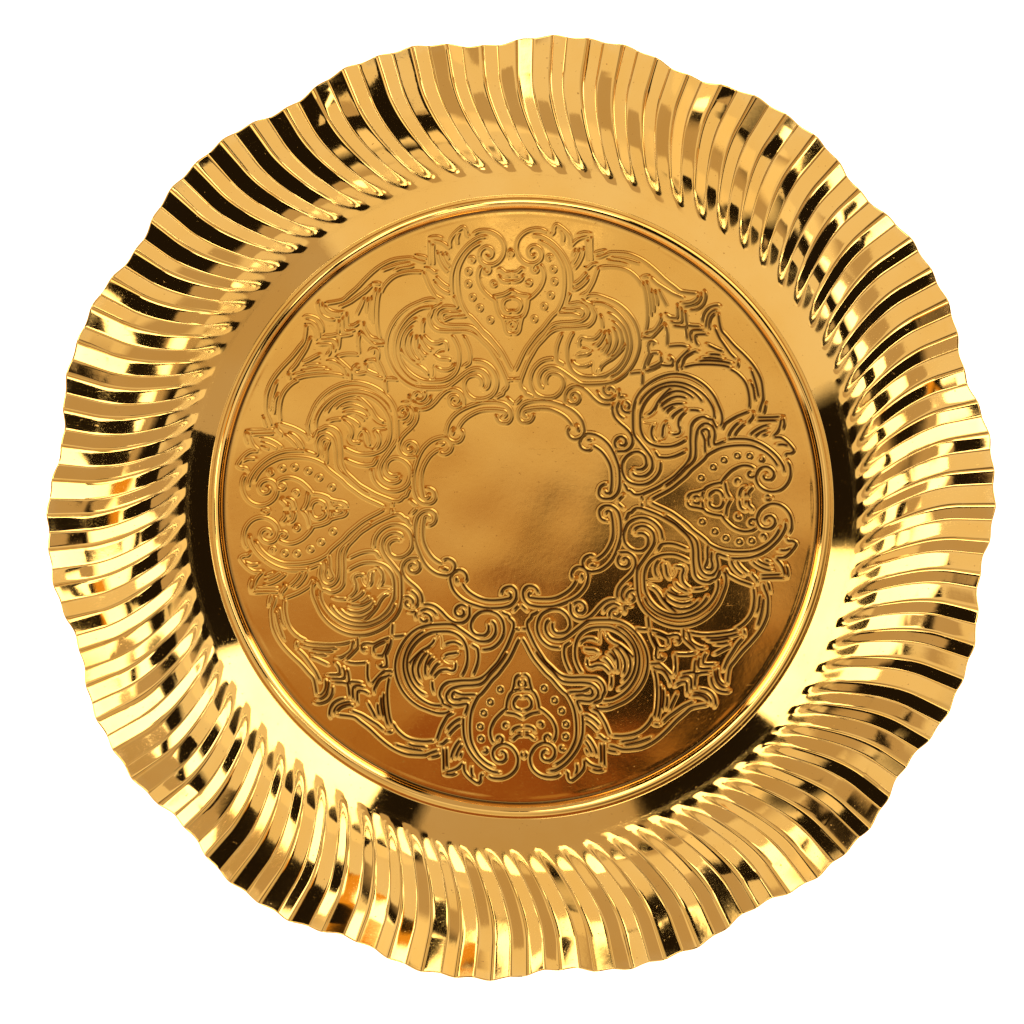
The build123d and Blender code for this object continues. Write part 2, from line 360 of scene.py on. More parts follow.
# ------------------------------------------------------------------------------------------
# Ornament. A quarter of the pattern is drawn in strokes, with a semicolon between strokes.
# A stroke is a row of "across,outward" points in millimetres from the pattern's centre.
# Every stroke is also drawn mirrored about the diagonal.
# ------------------------------------------------------------------------------------------
STROKES = {
    "cartouche": """
6.3,30.2 6,28.8 5.2,27.7 3.8,27.2 2.4,27.3 1.4,28.3 1.1,29.8 1.5,31.6 3,33.3 5.5,34.1 8.5,34.3
11.5,34.1 14.5,33.2 17,32.2 19.2,30.9 21,29.2 22.3,27.2 22.9,25 22.9,23.6 22.2,22.2 21,21.4
19.6,21.2 18.2,21.9 17.4,23.4 17.6,24.7 18.3,25.3; 4.2,28.9 3,29.8 3.2,30.9 4.6,31.3 7,31.6
10,31.6 12.5,31.1 15,29.9 17,28.4 18.4,26.6 19,25.2; 20,25.3 20.7,24.7 20.9,24.1 20.9,25
20.5,25.7; 0,33.4 1,34 2.3,35.4; 0,41.4 1.8,41.4 2.2,41
""",
    "outer_line": """
6.6,35.3 5.2,36.2 3.9,36.8 3.5,37.8 2.6,38.7 2.2,39.8 2.4,41.4 3,43 3.7,44.7 4.5,46.5 5.3,48
6.4,49.8 8,52.3 10,54.4 12,56.4 14,57.6 16.5,58.1 20,58.1 23,58.3 25,58.6 26.5,59.7 27.3,61.2
27.5,62.8 26.8,64.3 26.4,65.6 25.3,66.2 24,66.9 23.2,67.6
""",
    "volute": """
13.5,48 12,48 10,47.6 8.3,46.6 6.8,45 5.8,43 5.5,41 5.8,39 6.6,37.3 8,36 10.3,35.2 13,35.3
14.6,36.2 15.7,37.4 16.4,39 16.4,41 15.3,42.6 13.6,43.2 12,43.1 10.9,42 10.6,40.5 10.9,39.2;
10.2,38.5 9,39 8.4,40.2 8.3,41.8 8.9,43.4 10.3,44.8 12.3,45.3 14.2,45 16,44 18,42.5 20,41 22,39.6
24,39.2 28,39.2 31,39.4 34,40.3 36.8,42.1 39.2,44.8 40.9,47.9 41.9,51.3 42,54.5 41.3,57.8 39.8,61
37.5,63.9 34.6,66.2 31.4,67.7 28.6,68.7 26.6,68.9 25,68.6 24,67.6; 16.8,32.8 16.8,34.5 16.9,36.3
17.8,37.8 19.3,38.7 21.2,38.8 23,38 24.6,36.6 26.4,34.6 28.4,33 30.6,32.4 32.6,32.6; 34.2,34.2
34.8,35.4 34.8,37; 27.6,36.6 28.3,35.3 29.5,34.3 31.3,33.9 33,34.6 33.5,35.2; 30.2,38.9 29.7,38
29.7,37 30.2,36.2 31,35.6 32,35.5 32.7,35.9; 33.1,36.3 33.2,37 32.8,37.7 32.1,38.1 31.4,37.9
31,37.3 31.3,36.8
""",
    "heart": """
0.3,44.2 1.5,46.3 2.8,49 4.2,51.5 6,53.9 8,56.4 10,58.3 12,60.8 13.6,62.6 14.8,63.6 16,65.6
16.9,67.8 17.4,70 17.7,73 17.7,76 17.4,78.5 16.4,81 14.8,83.6 12.5,85.8 10,87.2; 4.6,48.7 5.7,50.6
7,52.4 8.6,54.2 10.3,55.9 12.2,58.2 14,59.4 16.5,59.8 20,59.9 22.8,60.4 24.5,61.5 25.3,63 25,64.6
23.8,65.8 22,66.3 19.5,66 18.3,66.1 18.4,67 18.9,68.3 19.5,69.9; 14.8,63.1 17,62.9 19.5,62.9
21,62.5 22.5,61.9 23.2,62.4 23.4,63.4 22.9,64.2 21.5,64.4 20,64.1 17,64.3; 19.7,70 19.9,72
19.9,74.5 19.7,77 19,79.5 17.8,82 16,84.5 13.5,87 10.5,88.8 8,89.2; 12.4,90 10.5,91 8,91.2
5.5,90.5 3.5,89 2.3,87 2,84.6 2.7,82.4 4.2,80.6 6.2,79.7 8.3,79.9 9.9,81.1 10.4,82.9 9.8,84.6
8.4,85.6 6.9,85.4 6,84.3 6.2,82.8 7.2,82.2 8,82.8
""",
    "finial": """
0,56.6 1.5,56.9 2.3,58 2.7,60 3.3,62 4.2,63 5,65 5.4,67 5.6,68 7,69 8.7,70.6 9.8,72 10.7,74 11,76
10.6,78 9.6,79.6; 0,58.4 0.9,58.8 1.2,59.8 0.8,60.6 0,60.8; 0,61.6 2,61.7 3.2,62.3; 0,64.4 1.2,64
2.2,64.4 3,66 2.6,67.6 1.4,68.4 0,68.6; 0,71.4 1,70.6 2.6,69.8 4.6,69.4 6,69.2; 0,74 1.6,74
3.2,74.6 4,76; 0,76 2.4,76.1; 0,77 2,77.1 3.4,78.2 4.2,78; 0,82.4 0.8,83.4 0,84.6
""",
    "left_of_leaf": """
16.9,46 15.5,46.8 14.6,47.5 14.3,49 14.3,50.5 14.7,52.5 15.6,54.8 16.4,56.5
""",
    "leaf_rings": """
20.4,57 19.2,55 18.2,52.5 17.9,50 18.2,47 19.4,44.3 21.5,42.5 24,41.7 27,41.6 30,41.9 33,43.4
35.5,45.6 37.2,48.2 38,51 38,54 37.2,57 35.8,59.5 33.7,61.6 32,62.5; 31.6,41.2 34.6,42.8 37.1,45.6
38.6,48.7 39.3,51.9 39.1,55.2 38.1,58.4 36.3,61.4 34,63.8 31.3,65.5 29,66.2 26.5,66.2
""",
    "leaf_rings_faint": """
32.6,40.6 35.6,42.2 38,45 39.7,48.2 40.6,51.6 40.6,54.9 39.8,58.2 38.2,61.2 36,63.9 33.2,65.9
30.4,67.1 27.5,67.5
""",
    "leaf": """
28.4,43.5 29.3,45.2 31,46.6 33,47.7 35,49.4 36.7,51.2 37.6,52.6; 29.9,48.6 30.8,50 31.7,51.8
32.1,53.5 32.1,55.3 31.9,56.6; 30.6,48.2 32.2,49.2 33.4,50.7 34.2,52.5 34.5,54.3 34.2,56.2
33.6,57.7; 31.6,48 33.5,48.6 35,50.3 36,52.2 36.3,54.2 35.9,56.4 34.8,58.4 33.4,59.8; 28.6,50.3
29.8,50.7 31,52.3 31.3,53.5; 26.8,52 28,52.3 29.2,53.6 30.1,55.2 30.6,56.5; 22.1,51.4 21.9,53
22.2,54.3 23.2,54.8 25,54.3 27,54.5 28.5,55.6 29.6,57; 29.9,57.5 29.8,60 29.3,62; 19.3,47 20.4,46
22,45.3 24,45.4 25.6,46.2; 20.5,48.6 22.2,48.9 24.4,49.2 26,50.1
""",
    "outer_leaves": """
22.8,68.6 25,69.7 26,71 27.3,73.3 28.1,75.3 28.8,77.2 29.2,78; 19.9,70.8 21.5,71 23.2,72 24.8,73.5
25.6,74.8; 20.2,72.6 21.8,73.2 23.3,74.4 24.6,75.8 25,76.6; 24.4,78 25.5,77.8 27,79 28.5,79.2;
20.8,77.5 22.5,79.5 23.8,82 24.4,84.5; 20.3,79 21.8,81.3 22.9,84; 20.5,81.5 21.5,84; 17.5,86.5
17.6,89 16.8,91; 20,85.3 20,88 18.8,90 16.5,92 15.3,92.4 14.6,91.3 14.5,90 13.5,89.2; 25.7,80
25.7,85 25.6,87.5; 26.9,80 26.8,85 26.9,88.5; 20,85.2 21.8,87 23.7,88 26.5,88.6; 22.2,88.8
24.5,89.5 26.8,89.2
""",
    "lattice": """
38,42.4 40.5,42.7 42.8,42.8; 43,43 43.3,44.5 43.9,46.3 44.6,47.8 45.1,49 44.9,50.3 44.8,51.5
45,52.5 45.5,52.9 46.6,53 47.4,52.4 47.8,51.9; 44.4,44.4 44.3,45 44.9,46.7 45.7,48.3 46.4,49
48.5,49; 42.3,54.3 44,54.3 45.8,54.3 47,55.2 48.3,56.5 49.6,57.9 50.4,58.6; 43.2,55.2 44.8,56
46.5,56.4 47.6,57.2 48.5,58.5 49.2,60 49.3,61.5; 44,56 44.6,58.5 44.9,61 44.9,64 44.7,67 44.3,70
43.5,72.5; 46,61 46.2,64 46,67 45.6,70 44.9,72.8; 46.9,62.3 47.1,64.5 46.9,67 46.3,70; 48.2,64.5
48.2,67 47.7,69.5; 51.1,51 51.3,53.5 51.3,56 50.8,58.3; 52.8,58.2 55,57.7 57.8,57.7 57.7,60
57.5,62.8; 50.8,61.9 52.5,60.8 54.4,60.6 54.9,61.5 54.9,64.8; 52,59.6 54.5,58.9 56,59.2 56.4,60.5
56.3,63.8; 56.5,64.2 59,64.4 61.3,65.2 62.6,66.6 63,68.3; 56,65.4 58.5,65.3 60.4,65.9 61.6,67
61.7,68; 58.5,63 61,63.3 63,64.4 64,66 64.4,68 64,69.2; 48.9,70.3 49.6,68.3 50.6,66.3 51.6,64.3
""",
    "ribbon": """
27.5,82.3 29,83 31.5,83.5; 28,81.2 30,81.6 33,82.6 36,82.6 39,82.2 42,81 45,79.1 48,76.5 51,73.5
54,71 56,69.4 58.5,68.8 61.7,68.4; 46.2,74.2 48.3,72.2 50,71 51.5,70 53.5,68.7 55.5,67.8
57.2,67.1; 43.2,74.3 44.5,74.6 45.8,74.6; 29.5,77.9 33,78.1 36.5,77.6 39,76.6 41,75 42.4,73.3
43.3,71.5; 31.9,80.3 33.5,79.9 36.5,79.5 38.8,78.6; 33,81.3 37,80.6 40,79.8 43,78.8
""",
}
RIDGES = """
19.6,46.6 21.5,45.9 23.4,45.9 25.2,46.6 26.3,46.9 26.3,45.2 26.5,43.4 27.2,42.3 27.9,43.6
28.9,45.6 30.2,47; 20.2,47.7 20.9,49.2 22.5,50 24.6,50.2 25.5,50.9 24.2,51.9 22.5,52.2 21.6,53.2
22,54.9 23.3,55.6 25,55.1 26.8,55.3
"""
# Small scrolls: centre, radius, turns and starting bearing. Pearls: centre. These are not
# part of the strokes above, but are mirrored the same way.
CURLS = (
    (19.8, 35.2, 2.6, 1.2, 200), (8.2, 78, 1.5, 1.0, 90), (12.8, 81.5, 1.0, 1.0, 0),
    (5.9, 73.6, 1.0, 1.0, 180), (46.9, 51.8, 0.7, 0.8, 0),
)
PEARLS = ((7.3, 61.4), (10.7, 65.5), (13, 69.1), (14.3, 73.6), (14.1, 77.7))


def read_points(stroke):
    """The points of one stroke, as an array."""
    return np.array([[float(value) for value in pair.split(",")] for pair in stroke.split()])


def spline(points, spacing=STROKE_SPACING):
    """A smooth curve through the points, sampled evenly enough for stamping."""
    if len(points) == 2:
        points = np.array([points[0], points.mean(0), points[1]])
    before = np.vstack([2 * points[0] - points[1], points[:-2]])
    after = np.vstack([points[2:], 2 * points[-1] - points[-2]])
    parts = []
    for a, b, c, d in zip(before, points[:-1], points[1:], after):
        steps = max(2, int(np.linalg.norm(c - b) / spacing))
        t = np.arange(steps)[:, None] / steps
        bend = (2 * a - 5 * b + 4 * c - d) * t**2 + (3 * b - 3 * c + d - a) * t**3
        parts.append(b + 0.5 * ((c - a) * t + bend))
    parts.append(points[-1:])
    return np.vstack(parts)


def curl(across, outward, radius, turns, start):
    """A small scroll that winds in to its eye."""
    share = np.linspace(0, 1, CURL_POINTS)
    angle = np.radians(start) + share * turns * 2 * np.pi
    reach = radius * (1 - (1 - CURL_EYE_SHARE) * share)
    return np.stack([across + reach * np.cos(angle), outward + reach * np.sin(angle)], -1)


def pearl(across, outward):
    """A small full circle."""
    angle = np.linspace(0, 2 * np.pi, PEARL_POINTS)
    circle = PEARL_RADIUS * np.stack([np.cos(angle), np.sin(angle)], -1)
    return np.array([across, outward]) + circle


cells = int(ORNAMENT_REACH / RASTER_CELL) + 1
groove_map = np.zeros((cells, cells))
ridge_map = np.zeros((cells, cells))


def stamp(field, points, width, gain=1.0, taper=STROKE_TAPER):
    """Draw one stroke into a map, as a flat-bottomed trough or flat-topped ridge."""
    low = np.floor((points.min(0) - STROKE_REACH) / RASTER_CELL).astype(int).clip(0, cells - 1)
    high = np.ceil((points.max(0) + STROKE_REACH) / RASTER_CELL).astype(int).clip(0, cells - 1)
    nearest = np.full(high - low + 1, np.inf)
    strength = np.zeros(high - low + 1)
    run = np.append(0, np.cumsum(np.linalg.norm(np.diff(points, axis=0), axis=1)))
    from_end = np.minimum(run, run[-1] - run)
    fade = np.clip(from_end / taper, 0, 1) if taper else np.ones(len(run))
    fade = gain * (TAPERED_SHARE + (1 - TAPERED_SHARE) * fade * (2 - fade))
    around = int(STROKE_REACH / RASTER_CELL) + 1
    for start, end, amount in zip(points[:-1], points[1:], fade):
        middle = np.round(start / RASTER_CELL).astype(int)
        first = np.maximum(middle - around, low)
        last = np.minimum(middle + around, high) + 1
        if (last <= first).any():
            continue
        across = (np.arange(first[0], last[0]) * RASTER_CELL)[:, None]
        outward = (np.arange(first[1], last[1]) * RASTER_CELL)[None, :]
        span = end - start
        place = (across - start[0]) * span[0] + (outward - start[1]) * span[1]
        place = np.clip(place / (span @ span + TINY), 0, 1)
        across_gap = across - start[0] - place * span[0]
        outward_gap = outward - start[1] - place * span[1]
        distance = np.hypot(across_gap, outward_gap)
        window_rows = slice(first[0] - low[0], last[0] - low[0])
        window_columns = slice(first[1] - low[1], last[1] - low[1])
        window = (window_rows, window_columns)
        closer = distance < nearest[window]
        nearest[window][closer] = distance[closer]
        strength[window][closer] = amount
    part = (slice(low[0], high[0] + 1), slice(low[1], high[1] + 1))
    field[part] = np.maximum(field[part], strength * np.exp(-((nearest / width) ** 4)))


def stamp_both(field, points, width, **settings):
    """Draw a stroke and its mirror image about the diagonal."""
    stamp(field, points, width, **settings)
    stamp(field, points[:, ::-1], width, **settings)


for motif, strokes in STROKES.items():
    for stroke in strokes.split(";"):
        gain = FAINT if motif in FAINT_MOTIFS else 1.0
        stamp_both(groove_map, spline(read_points(stroke)), GROOVE_WIDTH, gain=gain)
for stroke in RIDGES.split(";"):
    stamp_both(ridge_map, spline(read_points(stroke)), RIDGE_WIDTH)
for across, outward, radius, turns, start in CURLS:
    stamp_both(groove_map, curl(across, outward, radius, turns, start), GROOVE_WIDTH)
for across, outward in PEARLS:
    stamp_both(groove_map, pearl(across, outward), PEARL_WIDTH, taper=0)
ornament_map = RIDGE_HEIGHT * ridge_map * (1 - groove_map) - GROOVE_DEPTH * groove_map


def blur(field, width):
    """Soften a map with a running mean, twice each way."""
    kernel = np.ones(width) / width
    for axis in (0, 1, 0, 1):
        field = np.apply_along_axis(lambda row: np.convolve(row, kernel, "same"), axis, field)
    return field


reverse_map = blur(ornament_map, REVERSE_BLUR)


def sample(field, x, y):
    """Read a quarter map at tray positions, folded into the pattern's quarter."""
    turn = math.radians(ORNAMENT_TURN)
    x = (x - ORNAMENT_SHIFT[0]) / ORNAMENT_SCALE
    y = (y - ORNAMENT_SHIFT[1]) / ORNAMENT_SCALE
    across = np.abs(x * math.cos(turn) + y * math.sin(turn)) / RASTER_CELL
    outward = np.abs(y * math.cos(turn) - x * math.sin(turn)) / RASTER_CELL
    column = np.clip(across.astype(int), 0, cells - 2)
    row = np.clip(outward.astype(int), 0, cells - 2)
    a = across - column
    b = outward - row
    near = field[column, row] * (1 - a) + field[column + 1, row] * a
    far = field[column, row + 1] * (1 - a) + field[column + 1, row + 1] * a
    return near * (1 - b) + far * b


waves = [
    (rng.uniform(0, 2 * math.pi), 2 * math.pi / rng.uniform(*WAVE_LENGTHS), rng.uniform(0, 2 * math.pi))
    for _ in range(WAVES)
]


def warp(x, y):
    """Slight unevenness of the flat sheet, from long waves in many directions."""
    total = np.zeros_like(x)
    for heading, pace, start in waves:
        total += np.cos(pace * (x * math.cos(heading) + y * math.sin(heading)) + start) / pace
    return total * WARP_SLOPE


# ------------------------------------------------------------------------------------------
# Meshes
# ------------------------------------------------------------------------------------------
def mesh_piece(name, points, faces, nodes, wear_and_shade, haze):
    """A piece from points in millimetres and face arrays, standing for CAD nodes."""
    corners = np.concatenate([array.ravel() for array in faces]).astype(np.int32)
    sizes = np.concatenate([np.full(len(array), array.shape[1]) for array in faces])
    mesh = bpy.data.meshes.new(name)
    mesh.vertices.add(len(points))
    mesh.vertices.foreach_set("co", (points * MM).astype(np.float32).ravel())
    mesh.loops.add(len(corners))
    mesh.loops.foreach_set("vertex_index", corners)
    mesh.polygons.add(len(sizes))
    mesh.polygons.foreach_set("loop_start", np.append(0, np.cumsum(sizes)[:-1]).astype(np.int32))
    mesh.update(calc_edges=True)
    mesh.polygons.foreach_set("use_smooth", np.ones(len(sizes), bool))
    mesh.set_sharp_from_angle(angle=math.radians(SHARP_ANGLE))
    for label, values in (("wear_and_shade", wear_and_shade), ("haze", haze)):
        values = values.astype(np.float32)
        mesh.attributes.new(label, "FLOAT", "POINT").data.foreach_set("value", values)
    piece = bpy.data.objects.new(name, mesh)
    bpy.context.scene.collection.objects.link(piece)
    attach(piece, "root")
    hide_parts(*nodes)
    return piece


def ring_quads(rows, columns, first=0):
    """Quads of a grid that closes round the tray, facing up."""
    index = first + np.arange(rows * columns).reshape(rows, columns)
    after = np.roll(index, -1, axis=1)
    return np.stack([index[:-1], index[1:], after[1:], after[:-1]], -1).reshape(-1, 4)


def edge_quads(upper, lower):
    """Quads that join two closed loops of vertices."""
    return np.stack([upper, np.roll(upper, -1), np.roll(lower, -1), lower], -1)


def ring_piece(name, upper, lower, nodes, wear_and_shade, haze):
    """A closed ring of sheet from its upper and lower grids."""
    rows, columns = upper.shape[:2]
    count = rows * columns
    inner = np.arange(columns)
    outer = inner + (rows - 1) * columns
    faces = [
        ring_quads(rows, columns),
        ring_quads(rows, columns, count)[:, ::-1],
        edge_quads(inner, inner + count),
        edge_quads(outer, outer + count)[:, ::-1],
    ]
    points = np.concatenate([upper.reshape(-1, 3), lower.reshape(-1, 3)])
    wear_and_shade = np.tile(wear_and_shade.ravel(), 2)
    haze = np.tile(haze.ravel(), 2)
    return mesh_piece(name, points, faces, nodes, wear_and_shade, haze)


upper_face = build_upper_face()
wall_rows = len(section)
lower_face = build_lower_face(upper_face, wall_rows)

# Wear is 1 where a hand or a cloth touches: on the ridges and along the cut edge.
# It is -1 where shade is painted in: in the corner at the foot of the step.
face_radius = np.linalg.norm(upper_face[..., :2], axis=-1)
to_crease = np.minimum(column_stop, 1 - column_stop)[None, :]
wear_and_shade = np.exp(-((to_crease / RIDGE_WEAR_WIDTH) ** 2)) * smooth(FLUTE_START, FLUTE_FULL, face_radius)
wear_and_shade = np.maximum(wear_and_shade, smooth(EDGE_RADIUS - EDGE_WEAR_WIDTH, EDGE_RADIUS, face_radius))
wear_and_shade -= np.exp(-(((face_radius - TOE_MIDDLE) / TOE_SHADE_WIDTH) ** 2))

# Haze is 1 where the sheet was stretched most, at the feet of the pleats.
haze = smooth(HAZE_START, HAZE_FULL, face_radius) * smooth(HAZE_END, HAZE_FADE, face_radius)

zones = (
    ("step_ring_skin", "step_ring", 0, ledge_row + 1),
    ("cove_skin", "cove", ledge_row, wall_rows),
    ("fluted_rim_skin", "fluted_rim", wall_rows - 1, len(upper_face)),
)
rings = [
    ring_piece(name, upper_face[a:b], lower_face[a:b], [node], wear_and_shade[a:b], haze[a:b])
    for name, node, a, b in zones
]


def disc_grid(cells, radius):
    """A square grid wrapped onto a disc, so that its cells stay nearly even."""
    side = np.linspace(-1.0, 1.0, cells + 1)
    a, b = np.meshgrid(side, side, indexing="ij")
    wide = np.abs(a) >= np.abs(b)
    reach = np.where(wide, a, b)
    other = np.where(wide, b, a)
    safe = np.where(reach == 0, 1.0, reach)
    turn = math.pi / 4 * other / safe
    turn = np.where(wide, turn, math.pi / 2 - turn)
    return radius * reach * np.cos(turn), radius * reach * np.sin(turn)


def grid_index(cells, first=0):
    """Vertex numbers of a square grid."""
    return first + np.arange((cells + 1) ** 2).reshape(cells + 1, cells + 1)


def grid_quads(index):
    """Quads of a square grid, facing up."""
    corners = [index[:-1, :-1], index[1:, :-1], index[1:, 1:], index[:-1, 1:]]
    return np.stack(corners, -1).reshape(-1, 4)


def grid_edge(index):
    """The grid's outer vertices, in order round it."""
    return np.concatenate([index[:-1, 0], index[-1, :-1], index[:0:-1, -1], index[0, :0:-1]])


x, y = disc_grid(WELL_CELLS, FLOOR_SEAM)
fade = smooth(FLOOR_SEAM, FLOOR_SEAM - SEAM_FADE, np.hypot(x, y))
heavy = smooth(LIGHT_SIDE, HEAVY_SIDE, x - y)
ornament = sample(ornament_map, x, y) * (LIGHT_PRESSING + (1 - LIGHT_PRESSING) * heavy)
upper = np.stack([x, y, SHEET + fade * (ornament + warp(x, y))], -1).reshape(-1, 3)
# Painted shade: the bottoms of the grooves are darkened, more on the heavy side where the flat well
# reflects dark, with some grime.
groove_shade = np.clip(-ornament / GROOVE_DEPTH, 0, 1) ** SHADE_SHARPNESS
well_shade = -(groove_shade * (LIGHT_SIDE_SHADE + (1 - LIGHT_SIDE_SHADE) * heavy)).ravel()

x, y = disc_grid(UNDERSIDE_CELLS, FLOOR_SEAM)
fade = smooth(FLOOR_SEAM, FLOOR_SEAM - SEAM_FADE, np.hypot(x, y))
pressed = np.clip(UNDERSIDE_LIFT + UNDERSIDE_SHARE * sample(reverse_map, x, y), 0, None)
lower = np.stack([x, y, fade * pressed], -1).reshape(-1, 3)

top_index = grid_index(WELL_CELLS)
low_index = grid_index(UNDERSIDE_CELLS, len(upper))
top_edge = grid_edge(top_index)
low_edge = grid_edge(low_index)
low_next = np.roll(low_edge, -1)
top_next = np.roll(top_edge, -1)
faces = [
    grid_quads(top_index),
    grid_quads(low_index)[:, ::-1],
    np.stack([top_next[::2], top_edge[::2], low_edge], -1),
    np.stack([top_next[1::2], top_edge[1::2], low_edge, low_next], -1),
]
well_points = np.concatenate([upper, lower])
well_shade = np.concatenate([well_shade, np.zeros(len(lower))])
no_haze = np.zeros_like(well_shade)
well = mesh_piece(
    "well_floor_skin", well_points, faces, ["well_floor"], well_shade, no_haze
)


# ------------------------------------------------------------------------------------------
# Shader helpers
# ------------------------------------------------------------------------------------------
# Places of the colour sockets in a mix node.
MIX_FACTOR = 0
MIX_FIRST = 6
MIX_SECOND = 7
MIX_RESULT = 2


class Graph:
    """Adds nodes to one node tree and links them up."""

    def __init__(self, tree):
        self.nodes = tree.nodes
        self.links = tree.links

    def node(self, kind, **settings):
        made = self.nodes.new(kind)
        for key, value in settings.items():
            setattr(made, key, value)
        return made

    def feed(self, socket, value):
        if value is None:
            return
        if isinstance(value, bpy.types.NodeSocket):
            self.links.new(value, socket)
        elif isinstance(value, tuple) and len(value) == 3 and socket.type == "RGBA":
            socket.default_value = (*value, 1)
        else:
            socket.default_value = value

    def math(self, operation, first, second=None, third=None):
        made = self.node("ShaderNodeMath", operation=operation)
        for socket, value in zip(made.inputs, (first, second, third)):
            self.feed(socket, value)
        return made.outputs[0]

    def mix(self, factor, first, second):
        made = self.node("ShaderNodeMix", data_type="RGBA")
        self.feed(made.inputs[MIX_FACTOR], factor)
        self.feed(made.inputs[MIX_FIRST], first)
        self.feed(made.inputs[MIX_SECOND], second)
        return made.outputs[MIX_RESULT]

    def blend(self, value, low, high):
        """A smooth step from 0 to 1 as the value goes from low to high."""
        made = self.node("ShaderNodeMapRange", interpolation_type="SMOOTHSTEP")
        for socket, setting in zip(made.inputs, (value, low, high, 0.0, 1.0)):
            self.feed(socket, setting)
        return made.outputs[0]

    def noise(self, vector, scale, detail=3.0, rough=0.55):
        made = self.node("ShaderNodeTexNoise")
        self.feed(made.inputs["Vector"], vector)
        made.inputs["Scale"].default_value = scale
        made.inputs["Detail"].default_value = detail
        made.inputs["Roughness"].default_value = rough
        return made.outputs["Fac"]

    def vector(self, x, y, z):
        made = self.node("ShaderNodeCombineXYZ")
        for socket, value in zip(made.inputs, (x, y, z)):
            self.feed(socket, value)
        return made.outputs[0]

    def ramp(self, fraction, stops):
        made = self.node("ShaderNodeValToRGB")
        elements = made.color_ramp.elements
        elements.remove(elements[0])
        elements[0].position = stops[0][0]
        elements[0].color = (*stops[0][1], 1)
        for position, color in stops[1:]:
            elements.new(position).color = (*color, 1)
        self.feed(made.inputs[0], fraction)
        return made.outputs[0]


# ------------------------------------------------------------------------------------------
# Brass
# ------------------------------------------------------------------------------------------
TARNISH = (0.42, 0.17, 0.035)
# Near-black brown painted into the grooves and the step's corner as shade, with some grime.
SHADE_AND_GRIME = (0.07, 0.03, 0.01)
WORN = (0.97, 0.62, 0.22)

# Noise: how fine each kind of mark is, and between which noise values it comes up.
SMUDGE_SCALE = 28
SMUDGE_TONE_STEPS = (0.3, 0.7)
SMUDGE_ROUGH_STEPS = (0.45, 0.8)
TURNING_SCALE = 2600
TURNING_STRETCH = 0.02
TURNING_STEPS = (0.55, 0.75)
SCRATCH_SCALE = 1500
SCRATCH_STRETCH = 0.06
SCRATCH_STEPS = (0.70, 0.76)
SPECK_SCALE = 900
SPECK_STEPS = (0.72, 0.80)
WORN_SCALE = 160
WORN_STEPS = (0.35, 0.6)
PEEL_SCALE = 420

# What each kind of mark does to the colour, the roughness and the relief.
SPECK_TONE = 0.5
WORN_TONE = 0.35
SMUDGE_ROUGHNESS = 0.03
TURNING_ROUGHNESS = 0.05
SCRATCH_ROUGHNESS = 0.16
SPECK_ROUGHNESS = 0.2
WORN_ROUGHNESS = 0.06
HAZE_ROUGHNESS = 0.13
TURNING_RELIEF = 0.12
SCRATCH_RELIEF = -0.3


